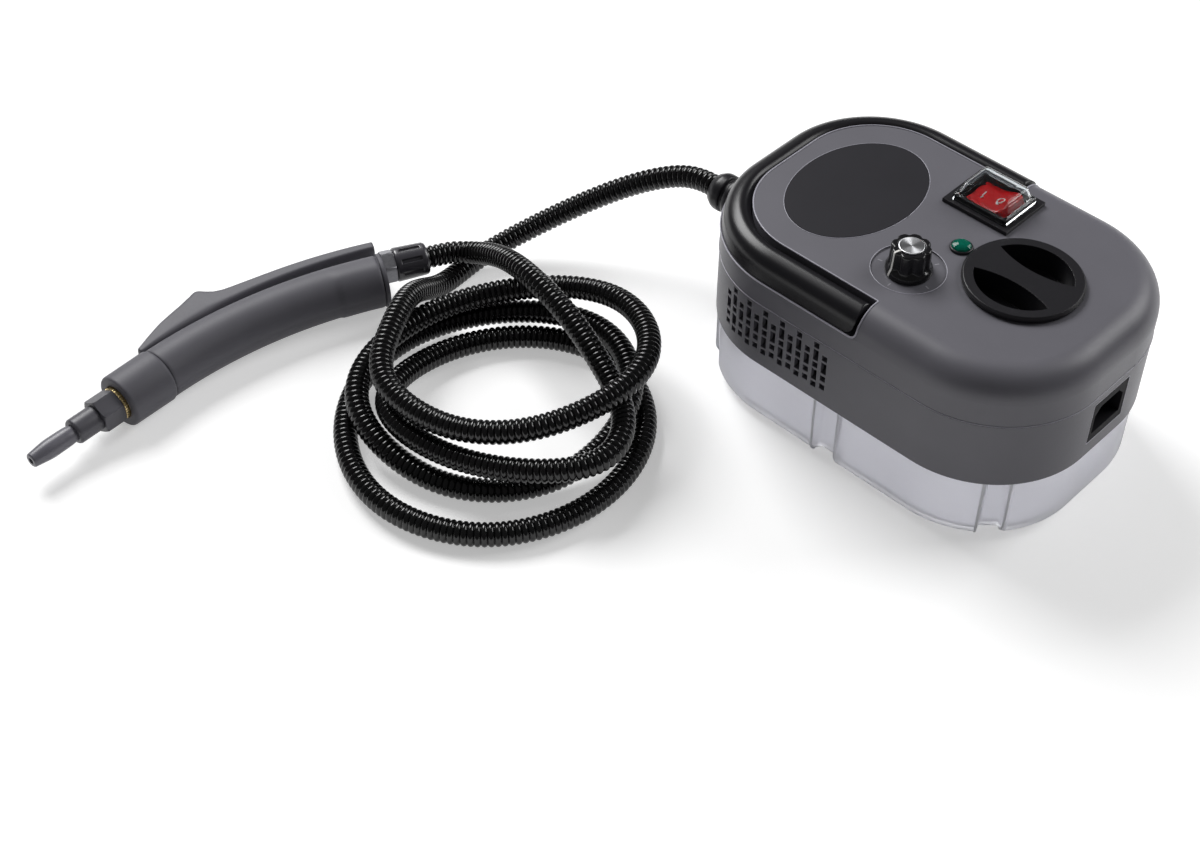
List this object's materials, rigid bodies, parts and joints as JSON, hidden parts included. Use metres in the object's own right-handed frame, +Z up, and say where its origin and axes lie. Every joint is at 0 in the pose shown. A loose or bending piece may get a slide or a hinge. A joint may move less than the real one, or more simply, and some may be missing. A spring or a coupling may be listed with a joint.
{
  "type": "steam cleaner",
  "caption": "Portable steam cleaner: a rounded base unit on a frosted water tank, with a folding carry handle, a filler cap, and a ribbed hose coiled to a hand gun.",
  "frame": {"origin": "middle of the base unit's underside, on the surface that it stands on", "axes": "+X from the hose end of the base unit to its mains inlet end, +Y to the side of the switch, +Z up"},
  "size_m": [0.4354, 0.4466, 0.1249],
  "materials": {
    "grey_plastic": "fine moulded grain",
    "frosted_plastic": "frosted, translucent",
    "black_plastic": "satin",
    "label": "smooth, bare",
    "charcoal_plastic": "soft matt",
    "red_plastic": "glossy",
    "green_lens": "clear tinted",
    "clear_plastic": "clear moulded",
    "white_plastic": "plain",
    "clear_tube": "milky silicone",
    "bulb": "plain",
    "seal_rubber": "matt",
    "hose": "glossy, ribbed",
    "steel": "plain turned",
    "aluminium": "spun or cast",
    "brass": "turned",
    "pump_plastic": "plain",
    "fuse_ceramic": "plain",
    "board": "lacquered"
  },
  "bodies": {
    "base": {"mid_housing": "grey_plastic", "top_cover": "grey_plastic", "tank": "frosted_plastic", "filler_neck": "frosted_plastic", "lamp_rim": "black_plastic", "switch_body": "black_plastic", "power_inlet": "black_plastic", "hose_gland": "black_plastic", "gland_nut": "black_plastic", "gun_switch": "black_plastic", "nozzle_nut": "black_plastic", "hose_ferrule": "black_plastic", "label_plate": "label", "gun_upper_shell": "charcoal_plastic", "gun_lower_shell": "charcoal_plastic", "gun_collar": "charcoal_plastic", "gun_rear_cap": "charcoal_plastic", "nozzle_adapter": "charcoal_plastic", "nozzle_tip": "charcoal_plastic", "lamp_lens": "green_lens", "switch_shield": "clear_plastic", "strainer": "white_plastic", "boiler_spacers": "white_plastic", "intake_filter": "white_plastic", "intake_tube": "clear_tube", "feed_tube": "clear_tube", "steam_tube": "clear_tube", "gun_tube": "clear_tube", "lamp_bulb": "bulb", "tank_seal": "seal_rubber", "pump_mounts": "seal_rubber", "hose_base_run": "hose", "hose_coil": "hose", "hose_gun_run": "hose", "handle_pins": "steel", "potentiometer": "steel", "inlet_pins": "steel", "thermostat": "steel", "cover_screws": "steel", "trigger_pin": "steel", "trigger_spring": "steel", "gun_screws": "steel", "hose_nut": "steel", "boiler": "aluminium", "brass_outlet": "brass", "pump": "pump_plastic", "thermal_fuse": "fuse_ceramic", "control_board": "board"},
    "handle": {"carry_handle": "black_plastic"},
    "knob": {"control_knob": "black_plastic", "knob_disc": "aluminium", "pot_shaft": "steel"},
    "rocker": {"switch_rocker": "red_plastic"},
    "cap_ring": {"cap_seal": "seal_rubber"},
    "cap": {"filler_cap": "black_plastic"},
    "trigger": {"gun_trigger": "charcoal_plastic"},
    "plunger": {"switch_plunger": "white_plastic"}
  },
  "joints": [
    {"name": "handle_lift", "type": "hinge", "parent": "base", "child": "handle", "pos_m": [0, 0, 0.1027], "axis": [0, 1, 0], "range_deg": [0, 90]},
    {"name": "knob_turn", "type": "hinge", "parent": "base", "child": "knob", "pos_m": [0.005, -0.031, 0.11], "axis": [0, 0, 1], "range_deg": [-60, 240]},
    {"name": "rocker_tilt", "type": "hinge", "parent": "base", "child": "rocker", "pos_m": [0.0046, 0.0396, 0.106], "axis": [0, 1, 0], "range_deg": [0, 18]},
    {"name": "cap_lift", "type": "slide", "parent": "base", "child": "cap_ring", "axis": [0, 0, 1], "range_m": [0, 0.05]},
    {"name": "cap_turn", "type": "hinge", "parent": "cap_ring", "child": "cap", "pos_m": [0.0515, 0, 0.1111], "axis": [0, 0, 1], "range_deg": [0, 90]},
    {"name": "trigger_squeeze", "type": "hinge", "parent": "base", "child": "trigger", "pos_m": [-0.298, -0.26546, 0.0152], "axis": [0, 0, -1], "range_deg": [0, 2.5], "stiffness_Nm_per_rad": 3, "springref_deg": -2.29},
    {"name": "plunger_push", "type": "slide", "parent": "base", "child": "plunger", "axis": [0.9816, -0.1908, 0], "range_m": [0, 0.0021]}
  ],
  "couplings": [
    {"joint": "plunger_push", "follows": "trigger_squeeze", "m_per_rad": 0.0453}
  ]
}
